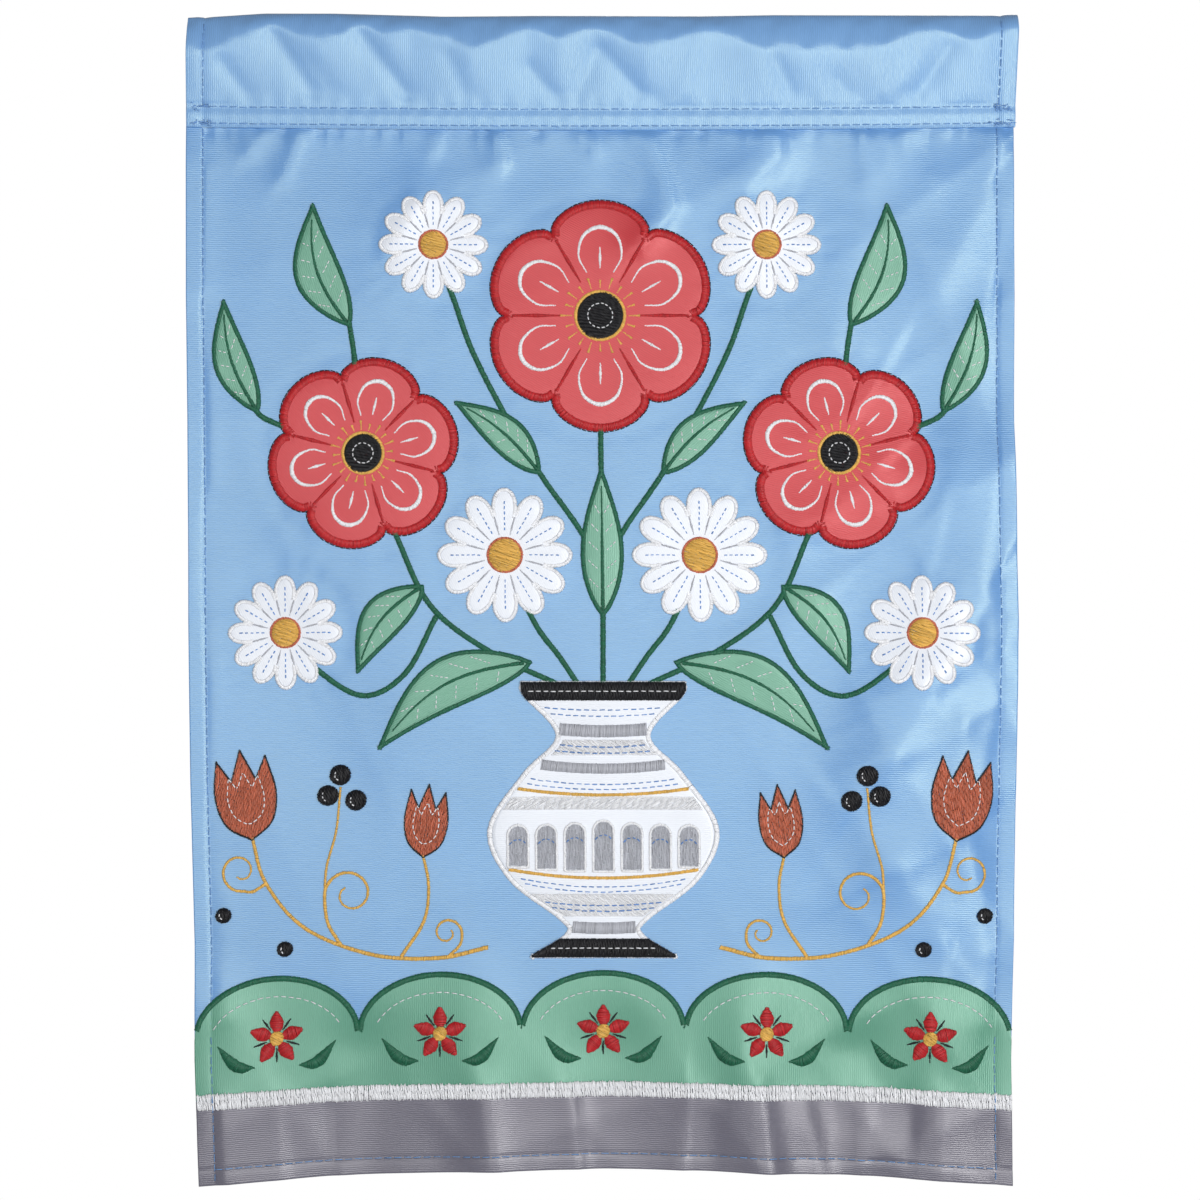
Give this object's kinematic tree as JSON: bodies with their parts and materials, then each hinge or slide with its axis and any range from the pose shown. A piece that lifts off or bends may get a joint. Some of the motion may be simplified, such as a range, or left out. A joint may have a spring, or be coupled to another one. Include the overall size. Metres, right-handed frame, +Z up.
{
  "type": "garden flag",
  "caption": "Small upright cloth flag hanging by an open rod sleeve, with a sewn-on and embroidered flower picture over a scalloped border.",
  "frame": {"origin": "the line where a rod bears: the middle of the sleeve's length, under its crown", "axes": "+Z up the hanging flag, +X along the rod towards the right as seen from the front, +Y to the back; the picture faces -Y"},
  "size_m": [0.3239, 0.0162, 0.457],
  "materials": {
    "sky_cloth": "woven polyester with a soft gloss",
    "grey_cloth": "woven polyester with a soft gloss",
    "green_cloth": "woven polyester with a soft gloss",
    "red_cloth": "woven polyester with a soft gloss",
    "white_cloth": "woven polyester with a soft gloss",
    "white_thread": "glossy embroidery thread",
    "red_thread": "glossy embroidery thread",
    "green_thread": "glossy embroidery thread",
    "gold_thread": "glossy embroidery thread",
    "black_thread": "glossy embroidery thread",
    "brown_thread": "glossy embroidery thread",
    "silver_thread": "glossy embroidery thread",
    "blue_thread": "sewing and running-stitch thread"
  },
  "bodies": {
    "root": {"ground_cloth": "sky_cloth", "rod_sleeve": "sky_cloth", "grey_border": "grey_cloth", "green_scallops": "green_cloth", "vase": "white_cloth", "poppy_top": "red_cloth", "poppy_left": "red_cloth", "poppy_right": "red_cloth", "daisy_upper_right": "white_cloth", "daisy_upper_left": "white_cloth", "daisy_lower_right": "white_cloth", "daisy_lower_left": "white_cloth", "daisy_side_right": "white_cloth", "daisy_side_left": "white_cloth", "leaf_upper_right": "green_cloth", "leaf_upper_left": "green_cloth", "leaf_top_right": "green_cloth", "leaf_top_left": "green_cloth", "leaf_outer_right": "green_cloth", "leaf_outer_left": "green_cloth", "leaf_side_right": "green_cloth", "leaf_side_left": "green_cloth", "leaf_vase_right": "green_cloth", "leaf_vase_left": "green_cloth", "leaf_middle": "green_cloth"}
  },
  "joints": []
}
